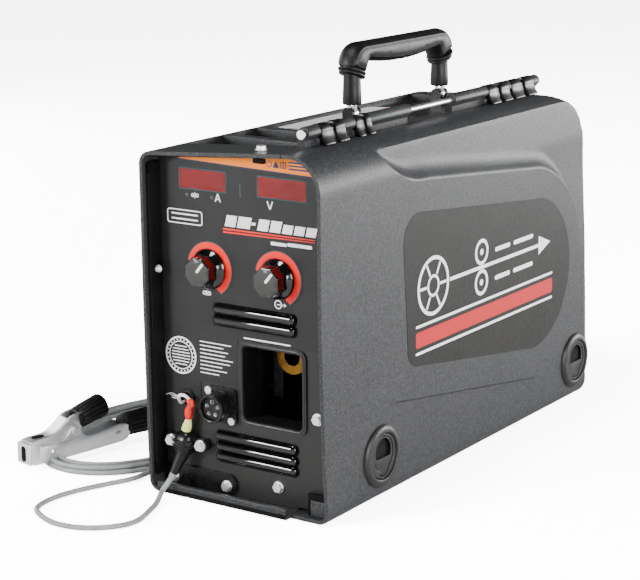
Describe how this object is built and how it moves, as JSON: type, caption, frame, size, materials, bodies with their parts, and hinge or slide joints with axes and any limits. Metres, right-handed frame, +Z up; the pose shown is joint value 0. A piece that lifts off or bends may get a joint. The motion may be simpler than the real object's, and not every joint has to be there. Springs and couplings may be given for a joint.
{
  "type": "suitcase wire feeder",
  "caption": "Portable suitcase wire feeder with a hinged side door, folding carry handle, recessed control front, wire drive and spool inside, and a sense lead ending in a spring clamp.",
  "frame": {"origin": "centre of the flat underside of the case", "axes": "+Z up, -Y towards the control front, +X towards the hinged door"},
  "size_m": [0.4335, 0.7293, 0.453],
  "materials": {
    "case_plastic": "speckled satin",
    "black_plastic": "satin",
    "gloss_black": "glossy",
    "panel_paint": "matte",
    "overlay_film": "matte",
    "red_window": "translucent",
    "bright_steel": "bright zinc",
    "cast_alloy": "cast",
    "clamp_steel": "zinc plated",
    "brass": "turned",
    "black_rubber": "matte",
    "grey_cable": "satin",
    "white_wire": "satin",
    "sleeve_plastic": "satin",
    "board": "lacquered",
    "copper_wire": "copper coated",
    "red_plastic": "glossy"
  },
  "bodies": {
    "case": {"case_shell": "case_plastic", "base_pan": "panel_paint", "front_panel": "panel_paint", "front_overlay": "overlay_film", "rear_panel": "panel_paint", "centre_panel": "panel_paint", "hinge_rod": "bright_steel", "top_plate": "black_plastic", "handle_brackets": "black_plastic", "ammeter_window": "red_window", "voltmeter_window": "red_window", "potentiometers": "bright_steel", "trigger_connector": "black_plastic", "panel_screws": "bright_steel", "access_cover": "black_plastic", "strain_relief": "black_plastic", "sense_wire": "white_wire", "splice_sleeves": "sleeve_plastic", "sense_lead": "grey_cable", "clamp_lower_jaw": "clamp_steel", "clamp_lower_grip": "black_rubber", "clamp_pivot": "clamp_steel", "clamp_spring": "clamp_steel", "gun_bushing": "brass", "drive_housing": "cast_alloy", "drive_motor": "black_plastic", "inlet_guide": "brass", "spindle": "bright_steel", "control_board": "board", "contactor": "black_plastic", "gas_valve": "brass", "gas_hose": "black_rubber", "gas_inlet": "brass", "input_stud": "brass", "switch_plate": "bright_steel"},
    "door": {"side_door": "case_plastic", "hinge_clips": "gloss_black", "latch_rings": "black_plastic"},
    "front_latch_body": {"front_latch": "black_plastic"},
    "rear_latch_body": {"rear_latch": "black_plastic"},
    "handle": {"handle_grip": "black_plastic", "handle_sleeves": "black_plastic", "handle_rods": "bright_steel"},
    "left_dial": {"left_knob": "gloss_black"},
    "right_dial": {"right_knob": "gloss_black"},
    "spool": {"spool_reel": "black_plastic", "wire_winding": "copper_wire", "spool_hub": "black_plastic"},
    "driven": {"drive_gear": "bright_steel", "drive_roll": "bright_steel"},
    "idler": {"idle_gear": "bright_steel", "idle_roll": "bright_steel"},
    "arm": {"pressure_arm": "cast_alloy"},
    "tensioner": {"tension_rod": "bright_steel"},
    "tension_dial": {"tension_knob": "black_plastic"},
    "thumb_screw": {"gun_thumb_screw": "black_plastic"},
    "clamp_lever": {"clamp_upper_jaw": "clamp_steel", "clamp_upper_grip": "black_rubber"},
    "purge": {"purge_button": "red_plastic"},
    "toggle": {"mode_toggle": "bright_steel"}
  },
  "joints": [
    {"name": "handle_fold", "type": "hinge", "parent": "case", "child": "handle", "pos_m": [0, 0.0215, 0.377], "axis": [0, -1, 0], "range_deg": [0, 92]},
    {"name": "door_swing", "type": "hinge", "parent": "case", "child": "door", "pos_m": [0.062, 0, 0.384], "axis": [0, -1, 0], "range_deg": [0, 115]},
    {"name": "front_latch_turn", "type": "hinge", "parent": "door", "child": "front_latch_body", "pos_m": [0.1055, -0.178, 0.044], "axis": [1, 0, 0], "range_deg": [0, 90]},
    {"name": "rear_latch_turn", "type": "hinge", "parent": "door", "child": "rear_latch_body", "pos_m": [0.1055, 0.257, 0.044], "axis": [1, 0, 0], "range_deg": [0, 90]},
    {"name": "left_knob_turn", "type": "hinge", "parent": "case", "child": "left_dial", "pos_m": [-0.0424, -0.2795, 0.241], "axis": [0, 1, 0], "range_deg": [-190, 110]},
    {"name": "right_knob_turn", "type": "hinge", "parent": "case", "child": "right_dial", "pos_m": [0.0424, -0.2795, 0.241], "axis": [0, 1, 0], "range_deg": [-190, 110]},
    {"name": "spool_spin", "type": "hinge", "parent": "case", "child": "spool", "pos_m": [0.043, 0.102, 0.19], "axis": [1, 0, 0], "continuous": true},
    {"name": "drive_spin", "type": "hinge", "parent": "case", "child": "driven", "pos_m": [0.034, -0.15, 0.1342], "axis": [1, 0, 0], "continuous": true},
    {"name": "arm_lift", "type": "hinge", "parent": "case", "child": "arm", "pos_m": [0.046, -0.186, 0.174], "axis": [1, 0, 0], "range_deg": [0, 50]},
    {"name": "idle_spin", "type": "hinge", "parent": "arm", "child": "idler", "pos_m": [0.034, -0.15, 0.1698], "axis": [1, 0, 0], "continuous": true},
    {"name": "tension_swing", "type": "hinge", "parent": "case", "child": "tensioner", "pos_m": [0.046, -0.1, 0.118], "axis": [1, 0, 0], "range_deg": [0, 20]},
    {"name": "tension_turn", "type": "hinge", "parent": "tensioner", "child": "tension_dial", "pos_m": [0.046, -0.07435, 0.18848], "axis": [0, 0.342, 0.9397], "continuous": true},
    {"name": "thumb_screw_turn", "type": "hinge", "parent": "case", "child": "thumb_screw", "pos_m": [0.06, -0.213, 0.152], "axis": [1, 0, 0], "range_deg": [0, 720]},
    {"name": "clamp_squeeze", "type": "hinge", "parent": "case", "child": "clamp_lever", "pos_m": [-0.25064, -0.25625, 0.033], "axis": [-0.9799, 0.1994, 0], "range_deg": [0, 14], "stiffness_Nm_per_rad": 1.5, "springref_deg": -34.38},
    {"name": "purge_press", "type": "slide", "parent": "case", "child": "purge", "axis": [-1, 0, 0], "range_m": [0, 0.003], "stiffness_N_per_m": 300, "springref_m": -0.003},
    {"name": "mode_flip", "type": "hinge", "parent": "case", "child": "toggle", "pos_m": [-0.007, -0.212, 0.3], "axis": [0, 1, 0], "range_deg": [0, 24]}
  ],
  "couplings": [
    {"joint": "idle_spin", "follows": "drive_spin", "ratio": -1}
  ]
}
